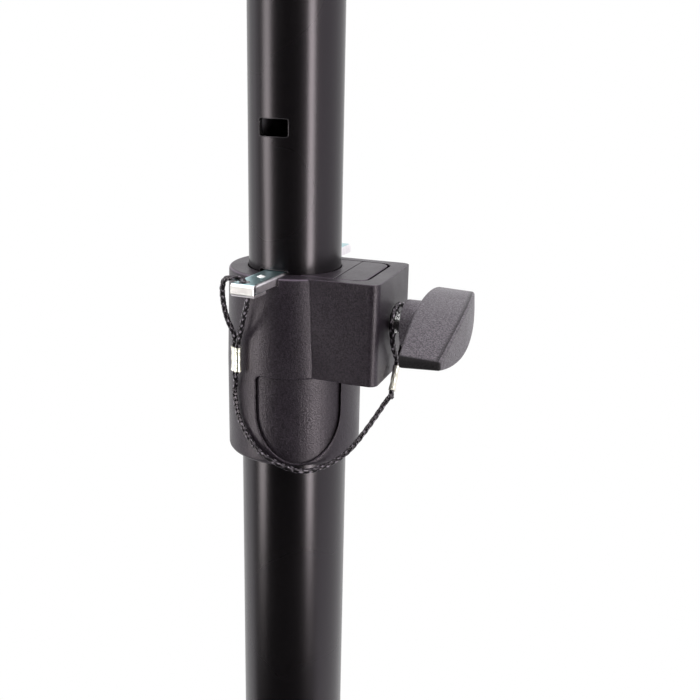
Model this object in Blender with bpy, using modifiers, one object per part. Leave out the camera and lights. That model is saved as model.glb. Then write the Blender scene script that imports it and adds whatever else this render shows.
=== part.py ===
"""A floor stand for one studio monitor: a heavy base plate, two telescoping steel tubes, a moulded
clamp housing with a pressure shoe and wing knob, a safety pin on a lanyard, and a padded top plate.

Metres, +Z up. The origin is on the floor, under the middle of the base. The tubes run along Z,
and the clamp's knob points along +X.
"""

import math

import bmesh
import bpy
from mathutils import Matrix, Vector

# Base
BASE_SIDE = 0.450
BASE_THICK = 0.006
BASE_CORNER = 0.035
FOOT_RADIUS = 0.016
FOOT_HEIGHT = 0.009
FOOT_INSET = 0.040
FOOT_SCREW_RADIUS = 0.0022
FOOT_SCREW_HEAD_RADIUS = 0.0045
FLANGE_RADIUS = 0.060
FLANGE_THICK = 0.008
FLANGE_NECK_RADIUS = 0.026
FLANGE_NECK_HEIGHT = 0.045
FLANGE_BOLT_CIRCLE = 0.043
FLANGE_BOLT_RADIUS = 0.003
FLANGE_BOLT_COUNT = 4

# Tubes
LOWER_TUBE_RADIUS = 0.020
LOWER_TUBE_WALL = 0.002
UPPER_TUBE_RADIUS = 0.017
UPPER_TUBE_WALL = 0.002
UPPER_TUBE_LENGTH = 0.680
UPPER_TUBE_SHOWING = 0.345
GUIDE_BUSH_LENGTH = 0.030
GUIDE_LIP = 0.003

# Slots for the safety pin
SLOT_PITCH = 0.0523
SLOTS_ABOVE = 3
SLOTS_BELOW = 3
SLOT_WIDTH = 0.0114
SLOT_HEIGHT = 0.0062
SLOT_CORNER = 0.0008
SLOT_MIDDLE = -0.0019
SLOT_TURN_DEG = -6.0
SLOT_RING = 0.0012

# Clamp housing, measured from its top face
COLLAR_TOP = 0.860
SLEEVE_RADIUS = 0.025
SLEEVE_TOP_RADIUS = 0.0242
SLEEVE_HEIGHT = 0.070
SLEEVE_TOP_ROUND = 0.0012
SLEEVE_BOTTOM_ROUND = 0.0016
SLEEVE_RINGS = (0.0350, 0.0378)
TUBE_STOP_DEPTH = 0.0385
BLOCK_REACH = 0.0385
BLOCK_WIDTH = 0.040
BLOCK_HEIGHT = 0.0366
BLOCK_ROUND = 0.0018
BLOCK_CORNER = 0.0030
POCKET_REACH = 0.0330
SHOE_BACK_GAP = 0.0012
POCKET_WIDTH = 0.0318
POCKET_DEPTH = 0.0335
POCKET_CORNER = 0.0048
SHIELD_TOP = 0.0362
SHIELD_BOTTOM = 0.0690
SHIELD_RISE = 0.0190
SHIELD_WIDTH = 0.0310
SHIELD_DEPTH = 0.0010
SHIELD_TURN_DEG = 26.3
HOUSING_SCREW_DROP = 0.054
HOUSING_SCREW_RADIUS = 0.0019
HOUSING_SCREW_HEAD = 0.0036

# Clamp screw, its insert and its knob
SCREW_DROP = 0.0177
STUD_RADIUS = 0.0039
STUD_TIP_SEAT = 0.0030
INSERT_RADIUS = 0.0062
HUB_RADIUS = 0.0088
HUB_GAP = 0.0043
WING_HALF_LENGTH = 0.0259
WING_INNER_HALF_THICK = 0.0084
WING_OUTER_HALF_THICK = 0.0079
WING_INNER_TIP = 0.0019
WING_OUTER_TIP = 0.0015
WING_INNER_STRETCH = 1.015
WING_OUTER_STRETCH = 0.995
WING_INNER = 0.0094
WING_REACH = 0.0144
WING_BELLY = 0.0034
WING_TURN_DEG = 15.2
WING_STATIONS = 20
WING_EDGE = 0.0009
SHOE_GROOVE_BACK = 0.0108
SHOE_EDGE = 0.0004

# Safety pin, an upside-down channel of folded steel with a hooked outer end
PIN_WIDTH = 0.0092
PIN_HEIGHT = 0.0033
PIN_TOP = 0.0009
PIN_THICK = 0.0011
PIN_EDGE = 0.0012
PIN_OUT = 0.0404
PIN_IN = 0.0420
PIN_TURN_DEG = -3.6
PIN_SHIFT = -0.0002
PIN_LIP_WIDTH = 0.0087
PIN_LIP = 0.0046
PIN_LIP_BEND = 0.0014
PIN_TONGUE = 0.0092
PIN_HOLE_RADIUS = 0.0020
PIN_HOLE_BACK = 0.0037
PIN_HOLE_SIDE = -0.0009
PIN_RELIEF = 0.0022
PIN_SEAM = 0.00003
PIN_GROOVE_PLAY = 0.0004

# Top plate
PLATE_SIDE = 0.230
PLATE_THICK = 0.004
PLATE_CORNER = 0.018
SOCKET_RADIUS = 0.022
SOCKET_HEIGHT = 0.040
SOCKET_FLANGE_RADIUS = 0.045
SOCKET_FLANGE_THICK = 0.006
PLATE_SCREW_CIRCLE = 0.034
PLATE_SCREW_RADIUS = 0.0025
PLATE_SCREW_HEAD = 0.0048
PLATE_SCREW_COUNT = 4
SOCKET_SCREW_RADIUS = 0.0030
PAD_LENGTH = 0.060
PAD_WIDTH = 0.022
PAD_THICK = 0.003
PAD_INSET = 0.032

# Lanyard
CORD_DIAMETER = 0.0017
LOOP_STEP = 0.0024
SWAG_STEP = 0.0046
FERRULE_WALL = 0.0003
STRAND_PITCH = 0.0019
CRIMP_OVERRUN = 0.0008

# Fits
GAP = 0.0003
SLIP = 0.0004
CORD_GAP = 0.00012
THREAD_GAP = 0.0003
EDGE = 0.0006
STEPS = 48

# The lanyard's way, in metres from the middle of the housing's top face. It starts in the crimp at
# the pin, loops through the pin's hole, comes back through the crimp, hangs round the sleeve to the
# crimp under the knob, loops round the stud, and ends in a short tail below that crimp.
PIN_CRIMP = ((-0.0126, -0.0246, -0.0262), (-0.0127, -0.0246, -0.0352))
KNOB_CRIMP = ((0.0408, -0.0024, -0.0335), (0.0406, -0.0066, -0.0415))
PIN_LOOP = (
    (-0.0126, -0.0268, -0.0205),
    (-0.0133, -0.0291, -0.0159),
    (-0.0137, -0.0307, -0.0117),
    (-0.0136, -0.0323, -0.0074),
    (-0.0129, -0.0342, -0.0035),
    (-0.0118, -0.0358, -0.0006),
    (-0.0103, -0.0369, 0.0014),
    (-0.0083, -0.0374, 0.0021),
    (-0.0061, -0.0373, 0.0023),
    (-0.0042, -0.0369, 0.0018),
    (-0.0032, -0.0367, 0.0002),
    (-0.0029, -0.0366, -0.0022),
    (-0.0027, -0.0361, -0.0048),
    (-0.0040, -0.0340, -0.0081),
    (-0.0063, -0.0314, -0.0128),
    (-0.0085, -0.0288, -0.0177),
    (-0.0104, -0.0266, -0.0220),
)
SLEEVE_SWAG = (
    (-0.0138, -0.0226, -0.0400),
    (-0.0148, -0.0218, -0.0440),
    (-0.0141, -0.0222, -0.0490),
    (-0.0126, -0.0230, -0.0538),
    (-0.0099, -0.0243, -0.0578),
    (-0.0063, -0.0254, -0.0619),
    (-0.0026, -0.0261, -0.0651),
    (0.0017, -0.0262, -0.0673),
    (0.0067, -0.0254, -0.0695),
    (0.0111, -0.0238, -0.0708),
    (0.0150, -0.0216, -0.0711),
    (0.0188, -0.0193, -0.0700),
    (0.0229, -0.0169, -0.0679),
    (0.0261, -0.0150, -0.0654),
    (0.0292, -0.0131, -0.0617),
    (0.0317, -0.0116, -0.0579),
    (0.0342, -0.0102, -0.0538),
    (0.0366, -0.0087, -0.0496),
    (0.0387, -0.0076, -0.0458),
)
KNOB_LOOP = (
    (0.0408, -0.0052, -0.0275),
    (0.0406, -0.0074, -0.0235),
    (0.0404, -0.0083, -0.0195),
    (0.0403, -0.0086, -0.0160),
    (0.0403, -0.0072, -0.0129),
    (0.0404, -0.0040, -0.0111),
    (0.0406, 0.0000, -0.0108),
    (0.0409, 0.0040, -0.0124),
    (0.0411, 0.0064, -0.0154),
    (0.0412, 0.0064, -0.0188),
    (0.0412, 0.0055, -0.0221),
    (0.0411, 0.0040, -0.0255),
    (0.0410, 0.0018, -0.0290),
)
KNOB_TAIL = ((0.0409, -0.0076, -0.0440),)


def turned(x, y, z, degrees):
    """A point turned about the tubes' axis."""
    angle = math.radians(degrees)
    return Vector(
        (x * math.cos(angle) - y * math.sin(angle), x * math.sin(angle) + y * math.cos(angle), z)
    )


def clear_scene():
    for thing in list(bpy.data.objects):
        bpy.data.objects.remove(thing, do_unlink=True)
    for name in ("studio_monitor_stand", "cutters"):
        bpy.context.scene.collection.children.link(bpy.data.collections.new(name))


def material(name, color, roughness, metallic=0.0):
    made = bpy.data.materials.new(name)
    made.use_nodes = True
    shader = made.node_tree.nodes["Principled BSDF"]
    shader.inputs["Base Color"].default_value = (*color, 1)
    shader.inputs["Roughness"].default_value = roughness
    shader.inputs["Metallic"].default_value = metallic
    made.diffuse_color = (*color, 1)
    return made


def keep(thing, name, finish=None, cutter=False, smooth=True):
    """Names an object and puts it with the parts or with the cutters."""
    thing.name = thing.data.name = name
    for home in list(thing.users_collection):
        home.objects.unlink(thing)
    bpy.data.collections["cutters" if cutter else "studio_monitor_stand"].objects.link(thing)
    thing.hide_render = cutter
    thing.display_type = "WIRE" if cutter else "TEXTURED"
    if finish:
        thing.data.materials.append(finish)
    if smooth and not cutter and thing.type == "MESH":
        thing.data.shade_smooth()
        thing.data.set_sharp_from_angle(angle=math.radians(30))
    return thing


def place(thing, at=(0, 0, 0), turn=None):
    """Moves a mesh's points, so that the object's origin stays where its joint or frame is."""
    thing.data.transform(Matrix.Translation(at) @ (turn or Matrix()))
    return thing


def cylinder(name, radius, bottom, top, finish=None, cutter=False, at=(0, 0), steps=STEPS):
    mesh = bpy.data.meshes.new(name)
    shape = bmesh.new()
    bmesh.ops.create_cone(
        shape, cap_ends=True, segments=steps, radius1=radius, radius2=radius, depth=top - bottom
    )
    shape.to_mesh(mesh)
    shape.free()
    made = keep(bpy.data.objects.new(name, mesh), name, finish, cutter)
    return place(made, (at[0], at[1], (top + bottom) / 2))


def block(name, low, high, finish=None, cutter=False, edge=0.0, segments=3):
    """A box between two corners, with rounded edges."""
    mesh = bpy.data.meshes.new(name)
    shape = bmesh.new()
    bmesh.ops.create_cube(shape, size=1)
    size = Vector(high) - Vector(low)
    bmesh.ops.scale(shape, vec=size, verts=shape.verts)
    bmesh.ops.translate(shape, vec=(Vector(high) + Vector(low)) / 2, verts=shape.verts)
    if edge:
        bmesh.ops.bevel(
            shape, geom=shape.edges[:], offset=edge, segments=segments, affect="EDGES", profile=0.5
        )
    shape.to_mesh(mesh)
    shape.free()
    return keep(bpy.data.objects.new(name, mesh), name, finish, cutter)


def turned_part(name, profile, finish=None, cutter=False, steps=STEPS):
    """A turned shape about Z. The profile's (radius, height) points run down its outer side."""
    mesh = bpy.data.meshes.new(name)
    corners = [(radius, 0, height) for radius, height in profile]
    closed = all(radius > 0 for radius, _ in profile)
    edges = [(i, i + 1) for i in range(len(corners) - 1)]
    if closed:
        edges.append((len(corners) - 1, 0))
    mesh.from_pydata(corners, edges, [])
    made = bpy.data.objects.new(name, mesh)
    spin = made.modifiers.new("turn", "SCREW")
    spin.steps = spin.render_steps = steps
    spin.use_merge_vertices = True
    spin.merge_threshold = 0.00001
    spin.use_smooth_shade = True
    keep(made, name, finish, cutter, smooth=False)
    return realised(made)


def realised(thing):
    """Replaces an object's mesh or curve by what its modifiers make, as one welded mesh."""
    bpy.context.view_layer.update()
    graph = bpy.context.evaluated_depsgraph_get()
    mesh = bpy.data.meshes.new_from_object(thing.evaluated_get(graph))
    shape = bmesh.new()
    shape.from_mesh(mesh)
    bmesh.ops.remove_doubles(shape, verts=shape.verts, dist=0.000001)
    shape.to_mesh(mesh)
    shape.free()
    name, cutter = thing.name, thing.hide_render
    finish = thing.data.materials[0] if len(thing.data.materials) else None
    mesh.transform(thing.matrix_world)
    mesh.materials.clear()
    bpy.data.objects.remove(thing, do_unlink=True)
    return keep(bpy.data.objects.new(name, mesh), name, finish, cutter)


def flat_outline(name, outlines, bottom, top, finish=None, cutter=False):
    """A flat shape between two heights. The second and later outlines are holes in the first."""
    curve = bpy.data.curves.new(name, "CURVE")
    curve.dimensions = "2D"
    curve.fill_mode = "BOTH"
    curve.extrude = (top - bottom) / 2
    for outline in outlines:
        line = curve.splines.new("POLY")
        line.points.add(len(outline) - 1)
        line.use_cyclic_u = True
        for point, (x, y) in zip(line.points, outline):
            point.co = (x, y, 0, 1)
    made = bpy.data.objects.new(name, curve)
    made.location = (0, 0, (top + bottom) / 2)
    keep(made, name, finish, cutter)
    return realised(made)


def arc(centre, radius, start, end, steps):
    """Points on a circle, from one angle to another, in degrees."""
    return [
        (
            centre[0] + radius * math.cos(math.radians(start + (end - start) * i / steps)),
            centre[1] + radius * math.sin(math.radians(start + (end - start) * i / steps)),
        )
        for i in range(steps + 1)
    ]


def rounded_box(low, high, corner, steps=6):
    """A rectangle's outline with round corners, anticlockwise."""
    (x0, y0), (x1, y1) = low, high
    return (
        arc((x1 - corner, y0 + corner), corner, -90, 0, steps)
        + arc((x1 - corner, y1 - corner), corner, 0, 90, steps)
        + arc((x0 + corner, y1 - corner), corner, 90, 180, steps)
        + arc((x0 + corner, y0 + corner), corner, 180, 270, steps)
    )


def boolean(thing, other, operation="DIFFERENCE", solver="EXACT"):
    change = thing.modifiers.new(other.name, "BOOLEAN")
    change.operation = operation
    change.solver = solver
    change.object = other
    return thing


def soften(thing, width=EDGE, segments=2, angle=35):
    edges = thing.modifiers.new("edges", "BEVEL")
    edges.width = width
    edges.segments = segments
    edges.limit_method = "ANGLE"
    edges.angle_limit = math.radians(angle)
    edges.use_clamp_overlap = True
    return thing


def hang(name, at, *things):
    """Parents pieces that move together to an empty on their joint's axis, without moving them."""
    axis = bpy.data.objects.new(name, None)
    axis.location = at
    axis.empty_display_size = 0.02
    bpy.data.collections["studio_monitor_stand"].objects.link(axis)
    for thing in things:
        piece = bpy.data.objects[thing]
        piece.parent = axis
        piece.location = -Vector(at)


def square_places(inset, side):
    far = side / 2 - inset
    return [(far, far), (-far, far), (-far, -far), (far, -far)]


def ring_places(radius, count, start=45):
    return [
        (
            radius * math.cos(math.radians(start + 360 * i / count)),
            radius * math.sin(math.radians(start + 360 * i / count)),
        )
        for i in range(count)
    ]


def make_base(steel, rubber, zinc):
    bottom = FOOT_HEIGHT + GAP
    top = bottom + BASE_THICK
    half = BASE_SIDE / 2
    plate = flat_outline(
        "base_plate",
        [rounded_box((-half, -half), (half, half), BASE_CORNER, 8)],
        bottom,
        top,
        steel,
    )
    soften(plate, 0.0012, 2, 60)
    foot_places = square_places(FOOT_INSET, BASE_SIDE)
    for i, at in enumerate(foot_places, 1):
        head = 0.35 * FOOT_HEIGHT
        foot = turned_part(
            f"foot_{i}",
            [
                (0, FOOT_HEIGHT),
                (FOOT_RADIUS, FOOT_HEIGHT),
                (FOOT_RADIUS * 0.94, 0.0010),
                (FOOT_RADIUS * 0.94 - 0.0010, 0),
                (FOOT_SCREW_HEAD_RADIUS + GAP, 0),
                (FOOT_SCREW_HEAD_RADIUS + GAP, head),
                (0, head),
            ],
            rubber,
            steps=24,
        )
        place(foot, (*at, 0))
        hole = cylinder(
            f"foot_hole_{i}", FOOT_SCREW_RADIUS + GAP, 0, 2 * top, cutter=True, at=at, steps=20
        )
        boolean(foot, hole)
        boolean(plate, hole)
        screw = turned_part(
            f"foot_screw_{i}",
            [
                (0, top - 0.001),
                (FOOT_SCREW_RADIUS, top - 0.001),
                (FOOT_SCREW_RADIUS, head - GAP),
                (FOOT_SCREW_HEAD_RADIUS, head - GAP),
                (FOOT_SCREW_HEAD_RADIUS, head - GAP - 0.0013),
                (0, head - GAP - 0.0013),
            ],
            zinc,
            steps=16,
        )
        place(screw, (*at, 0))
    make_flange(plate, top, steel, zinc)
    return top


def make_flange(plate, base_top, steel, zinc):
    """The turned socket that the lower tube stands in, held to the base by cap screws."""
    bottom = base_top + GAP
    neck_top = bottom + FLANGE_NECK_HEIGHT
    flange = turned_part(
        "tube_flange",
        [
            (LOWER_TUBE_RADIUS + SLIP, neck_top),
            (FLANGE_NECK_RADIUS - 0.001, neck_top),
            (FLANGE_NECK_RADIUS, neck_top - 0.001),
            (FLANGE_NECK_RADIUS, bottom + FLANGE_THICK + 0.006),
            (FLANGE_NECK_RADIUS + 0.006, bottom + FLANGE_THICK),
            (FLANGE_RADIUS - 0.0015, bottom + FLANGE_THICK),
            (FLANGE_RADIUS, bottom + FLANGE_THICK - 0.0015),
            (FLANGE_RADIUS, bottom),
            (LOWER_TUBE_RADIUS + SLIP, bottom),
        ],
        steel,
    )
    for i, at in enumerate(ring_places(FLANGE_BOLT_CIRCLE, FLANGE_BOLT_COUNT), 1):
        hole = cylinder(
            f"flange_hole_{i}", FLANGE_BOLT_RADIUS + GAP, 0, 2 * neck_top, cutter=True, at=at, steps=20
        )
        boolean(flange, hole)
        boolean(plate, hole)
        seat = bottom + FLANGE_THICK + GAP
        head = 0.005
        bolt = turned_part(
            f"flange_bolt_{i}",
            [
                (0, seat + 0.002),
                (0.0022, seat + 0.002),
                (0.0022, seat + head),
                (0.0048, seat + head),
                (0.0054, seat + head - 0.0006),
                (0.0054, seat),
                (FLANGE_BOLT_RADIUS, seat),
                (FLANGE_BOLT_RADIUS, base_top - BASE_THICK + 0.001),
                (0, base_top - BASE_THICK + 0.001),
            ],
            zinc,
            steps=16,
        )
        place(bolt, (*at, 0))


def tube(name, radius, wall, bottom, top, finish, rings=()):
    """A cut tube with slightly broken end edges. Rings divide its outer face round the slots."""
    edge = 0.0004
    return turned_part(
        name,
        [(radius - wall, top), (radius - edge, top), (radius, top - edge)]
        + [(radius, height) for height in sorted(rings, reverse=True)]
        + [(radius, bottom + edge), (radius - edge, bottom), (radius - wall, bottom)],
        finish,
    )


def slot_heights():
    middle = COLLAR_TOP + SLOT_MIDDLE
    return [middle + i * SLOT_PITCH for i in range(-SLOTS_BELOW, SLOTS_ABOVE + 1)]


def make_tubes(base_top, black, nylon):
    lower_top = COLLAR_TOP - TUBE_STOP_DEPTH - GAP
    tube("lower_tube", LOWER_TUBE_RADIUS, LOWER_TUBE_WALL, base_top + GAP, lower_top, black)
    upper_top = COLLAR_TOP + UPPER_TUBE_SHOWING
    upper_bottom = upper_top - UPPER_TUBE_LENGTH
    ring = SLOT_HEIGHT / 2 + SLOT_RING
    rings = [height + side * ring for height in slot_heights() for side in (-1, 1)]
    upper = tube(
        "upper_tube", UPPER_TUBE_RADIUS, UPPER_TUBE_WALL, upper_bottom, upper_top, black, rings
    )
    turn = Matrix.Rotation(math.radians(SLOT_TURN_DEG), 4, "Z")
    for i, height in enumerate(slot_heights(), 1):
        half = (SLOT_WIDTH / 2, SLOT_HEIGHT / 2)
        slot = flat_outline(
            f"slot_cutter_{i}",
            [rounded_box((-half[0], -half[1]), half, SLOT_CORNER, 3)],
            -2 * UPPER_TUBE_RADIUS,
            2 * UPPER_TUBE_RADIUS,
            cutter=True,
        )
        stand_up = turn @ Matrix.Rotation(math.radians(90), 4, "X")
        place(slot, (0, 0, height), stand_up)
        boolean(upper, slot)
    make_bush(upper_bottom, nylon)
    return upper_top


def make_bush(tube_bottom, nylon):
    """The slide bush pushed into the upper tube's lower end, running in the lower tube."""
    bore = UPPER_TUBE_RADIUS - UPPER_TUBE_WALL
    outside = LOWER_TUBE_RADIUS - LOWER_TUBE_WALL - GAP
    shoulder = tube_bottom - GAP
    turned_part(
        "guide_bush",
        [
            (bore - 0.003, tube_bottom + GUIDE_BUSH_LENGTH / 2),
            (bore - GAP - 0.0005, tube_bottom + GUIDE_BUSH_LENGTH / 2),
            (bore - GAP, tube_bottom + GUIDE_BUSH_LENGTH / 2 - 0.0005),
            (bore - GAP, shoulder),
            (outside, shoulder),
            (outside, shoulder - GUIDE_BUSH_LENGTH / 2 + GUIDE_LIP),
            (outside - GUIDE_LIP / 3, shoulder - GUIDE_BUSH_LENGTH / 2),
            (bore - 0.003, shoulder - GUIDE_BUSH_LENGTH / 2),
        ],
        nylon,
        steps=32,
    )


def sleeve_profile():
    """The sleeve's side, which draws in towards its top above the block's bottom face."""
    bottom = COLLAR_TOP - SLEEVE_HEIGHT
    top_round, bottom_round = SLEEVE_TOP_ROUND, SLEEVE_BOTTOM_ROUND
    return (
        [(0, COLLAR_TOP)]
        + arc((SLEEVE_TOP_RADIUS - top_round, COLLAR_TOP - top_round), top_round, 90, 0, 4)
        + [(SLEEVE_RADIUS, COLLAR_TOP - drop) for drop in SLEEVE_RINGS]
        + arc((SLEEVE_RADIUS - bottom_round, bottom + bottom_round), bottom_round, 0, -90, 4)
        + [(0, bottom)]
    )


def shield_outline():
    """A straight-sided shield with a half ellipse below, as seen along its own direction."""
    half = SHIELD_WIDTH / 2
    steps = 18
    lower = [
        (x * half, z * SHIELD_RISE - SHIELD_BOTTOM + SHIELD_RISE)
        for x, z in arc((0, 0), 1, 180, 360, steps)
    ]
    return lower + arc((half - 0.002, -SHIELD_TOP - 0.002), 0.002, 0, 90, 4) + arc(
        (-half + 0.002, -SHIELD_TOP - 0.002), 0.002, 90, 180, 4
    )


def make_shield_cutter():
    """The shallow recess low on the sleeve: the shield's outline outside a smaller cylinder."""
    cutter = flat_outline(
        "shield_cutter", [shield_outline()], 0, 2 * SLEEVE_RADIUS, cutter=True
    )
    stand_up = Matrix.Rotation(math.radians(SHIELD_TURN_DEG), 4, "Z") @ Matrix.Rotation(
        math.radians(90), 4, "X"
    )
    place(cutter, (0, 0, COLLAR_TOP), stand_up)
    core = cylinder(
        "shield_core",
        SLEEVE_RADIUS - SHIELD_DEPTH,
        COLLAR_TOP - 2 * SLEEVE_HEIGHT,
        COLLAR_TOP + SLEEVE_HEIGHT,
        cutter=True,
        steps=2 * STEPS,
    )
    boolean(cutter, core)
    return realised(cutter)


def pocket_outline(inset=0.0, reach=POCKET_REACH):
    """The shoe's pocket seen from above, or the shoe itself, which is a little smaller."""
    half = POCKET_WIDTH / 2 - inset
    corner = POCKET_CORNER - inset
    return (
        [(0, -half)]
        + arc((reach - corner, -half + corner), corner, -90, 0, 6)
        + arc((reach - corner, half - corner), corner, 0, 90, 6)
        + [(0, half)]
    )


def along_x(name, radius, start, end, height, finish=None, cutter=False, steps=32):
    """A cylinder on the clamp screw's direction."""
    made = cylinder(name, radius, start, end, finish, cutter, steps=steps)
    return place(made, (0, 0, height), Matrix.Rotation(math.radians(90), 4, "Y"))


def make_housing(plastic, dark_steel, zinc):
    """The moulded sleeve and block, with the bores, the shoe's pocket and the shield recess."""
    bottom = COLLAR_TOP - SLEEVE_HEIGHT
    axis = COLLAR_TOP - SCREW_DROP
    housing = turned_part("clamp_housing", sleeve_profile(), plastic, steps=2 * STEPS)
    body = flat_outline(
        "block_body",
        [rounded_box((0, -BLOCK_WIDTH / 2), (BLOCK_REACH, BLOCK_WIDTH / 2), BLOCK_CORNER, 5)],
        COLLAR_TOP - BLOCK_HEIGHT,
        COLLAR_TOP,
        cutter=True,
    )
    soften(body, BLOCK_ROUND, 4, 60)
    boolean(housing, body, "UNION")
    neck = cylinder(
        "neck_cutter", UPPER_TUBE_RADIUS + SLIP, bottom - 0.01, COLLAR_TOP + 0.01, cutter=True
    )
    seat = cylinder(
        "tube_seat_cutter",
        LOWER_TUBE_RADIUS + SLIP,
        bottom - 0.01,
        COLLAR_TOP - TUBE_STOP_DEPTH,
        cutter=True,
    )
    pocket = flat_outline(
        "pocket_cutter",
        [pocket_outline()],
        COLLAR_TOP - POCKET_DEPTH,
        COLLAR_TOP + 0.01,
        cutter=True,
    )
    insert_hole = along_x(
        "insert_cutter",
        INSERT_RADIUS + THREAD_GAP / 2,
        POCKET_REACH - 0.004,
        2 * BLOCK_REACH,
        axis,
        cutter=True,
    )
    for cutter in (neck, seat, pocket, insert_hole, make_shield_cutter(), make_groove_cutter()):
        boolean(housing, cutter)
    make_insert(axis, dark_steel)
    make_housing_screw(housing, zinc)
    make_shoe(axis, plastic)
    return housing


def make_groove_cutter():
    """The notch across the sleeve's rim, front and back, in which the safety pin lies."""
    half = PIN_WIDTH / 2 + PIN_GROOVE_PLAY
    groove = block(
        "pin_groove_cutter",
        (-half, -2 * SLEEVE_RADIUS, PIN_TOP - PIN_HEIGHT - GAP),
        (half, 2 * SLEEVE_RADIUS, SLEEVE_HEIGHT),
        cutter=True,
    )
    return pin_placed(groove)


def pin_placed(thing):
    """Moves a shape made along Y, with its outer end at -Y, to where the pin lies."""
    turn = Matrix.Rotation(math.radians(PIN_TURN_DEG), 4, "Z")
    return place(thing, (PIN_SHIFT, 0, COLLAR_TOP), turn)


def make_insert(axis, steel):
    """The threaded insert in the block's end wall."""
    insert = along_x(
        "threaded_insert",
        INSERT_RADIUS - THREAD_GAP / 2,
        POCKET_REACH + GAP,
        BLOCK_REACH - GAP,
        axis,
        steel,
    )
    bore = along_x(
        "insert_bore", STUD_RADIUS + THREAD_GAP, 0, 2 * BLOCK_REACH, axis, cutter=True
    )
    boolean(insert, bore)


def make_housing_screw(housing, zinc):
    """The screw that fixes the housing to the lower tube, on the side away from the knob."""
    height = COLLAR_TOP - HOUSING_SCREW_DROP
    inner = LOWER_TUBE_RADIUS - LOWER_TUBE_WALL + 0.0006
    sink = SLEEVE_RADIUS - HOUSING_SCREW_HEAD * 0.6
    bore = HOUSING_SCREW_RADIUS + THREAD_GAP / 2
    hole = cylinder("screw_hole", bore, 0, SLEEVE_RADIUS, cutter=True, steps=20)
    wide = HOUSING_SCREW_HEAD + THREAD_GAP
    head = cylinder("screw_sink", wide, sink, 2 * SLEEVE_RADIUS, cutter=True, steps=24)
    screw = turned_part(
        "housing_screw",
        [
            (0, SLEEVE_RADIUS - 0.0014),
            (0.0014, SLEEVE_RADIUS - 0.0014),
            (0.0014, SLEEVE_RADIUS - 0.0004),
            (HOUSING_SCREW_HEAD * 0.9, SLEEVE_RADIUS - 0.0004),
            (HOUSING_SCREW_HEAD, SLEEVE_RADIUS - 0.0010),
            (HOUSING_SCREW_HEAD, sink + GAP),
            (HOUSING_SCREW_RADIUS, sink + GAP),
            (HOUSING_SCREW_RADIUS, inner),
            (0, inner),
        ],
        zinc,
        steps=20,
    )
    lay = Matrix.Rotation(math.radians(-90), 4, "Y")
    for thing in (hole, head, screw):
        place(thing, (0, 0, height), lay)
    boolean(housing, hole)
    boolean(housing, head)
    boolean(bpy.data.objects["lower_tube"], hole)


def make_shoe(axis, plastic):
    """The pressure shoe dropped into the pocket, hollowed to the tube's radius."""
    back = POCKET_REACH - SHOE_BACK_GAP
    shoe = flat_outline(
        "pressure_shoe",
        [pocket_outline(SLIP, back)],
        COLLAR_TOP - POCKET_DEPTH + GAP,
        COLLAR_TOP,
        plastic,
    )
    soften(shoe, SHOE_EDGE, 1, 60)
    shoe = realised(shoe)
    tube_side = cylinder(
        "shoe_tube_cutter",
        UPPER_TUBE_RADIUS + GAP,
        COLLAR_TOP - 2 * POCKET_DEPTH,
        COLLAR_TOP + 0.01,
        cutter=True,
    )
    sleeve_side = block(
        "shoe_trim_cutter",
        (-SLEEVE_RADIUS, -SLEEVE_RADIUS, COLLAR_TOP - 2 * POCKET_DEPTH),
        (0.5 * UPPER_TUBE_RADIUS, SLEEVE_RADIUS, COLLAR_TOP + 0.01),
        cutter=True,
    )
    seat = along_x(
        "stud_seat_cutter",
        STUD_RADIUS + THREAD_GAP,
        back - STUD_TIP_SEAT - GAP,
        2 * BLOCK_REACH,
        axis,
        cutter=True,
    )
    groove_x = back - SHOE_GROOVE_BACK
    groove = block(
        "shoe_groove_cutter",
        (groove_x - 0.0002, -POCKET_WIDTH, COLLAR_TOP - 0.0003),
        (groove_x + 0.0002, POCKET_WIDTH, COLLAR_TOP + 0.01),
        cutter=True,
    )
    for cutter in (tube_side, sleeve_side, seat, groove):
        boolean(shoe, cutter)


def wing_station(along):
    """The wing's cross-section at a share of its half length, from its inner top edge round."""
    swell = 1 - along**2
    start = BLOCK_REACH + WING_INNER
    end = start + WING_REACH + WING_BELLY * swell
    inner = WING_INNER_TIP + (WING_INNER_HALF_THICK - WING_INNER_TIP) * swell
    outer = WING_OUTER_TIP + (WING_OUTER_HALF_THICK - WING_OUTER_TIP) * swell
    near = along * WING_HALF_LENGTH * WING_INNER_STRETCH
    far = along * WING_HALF_LENGTH * WING_OUTER_STRETCH
    return [(start, near, inner), (end, far, outer), (end, far, -outer), (start, near, -inner)]


def loft(name, stations, finish=None, cutter=False):
    """A closed shape through cross-sections that have the same number of corners."""
    mesh = bpy.data.meshes.new(name)
    sides = len(stations[0])
    corners = [corner for station in stations for corner in station]
    faces = [tuple(range(sides))]
    for i in range(len(stations) - 1):
        for j in range(sides):
            a, b = i * sides + j, i * sides + (j + 1) % sides
            faces.append((b, a, a + sides, b + sides))
    faces.append(tuple(reversed(range(len(corners) - sides, len(corners)))))
    mesh.from_pydata(corners, [], faces)
    shape = bmesh.new()
    shape.from_mesh(mesh)
    bmesh.ops.recalc_face_normals(shape, faces=shape.faces)
    shape.to_mesh(mesh)
    shape.free()
    return keep(bpy.data.objects.new(name, mesh), name, finish, cutter)


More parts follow.
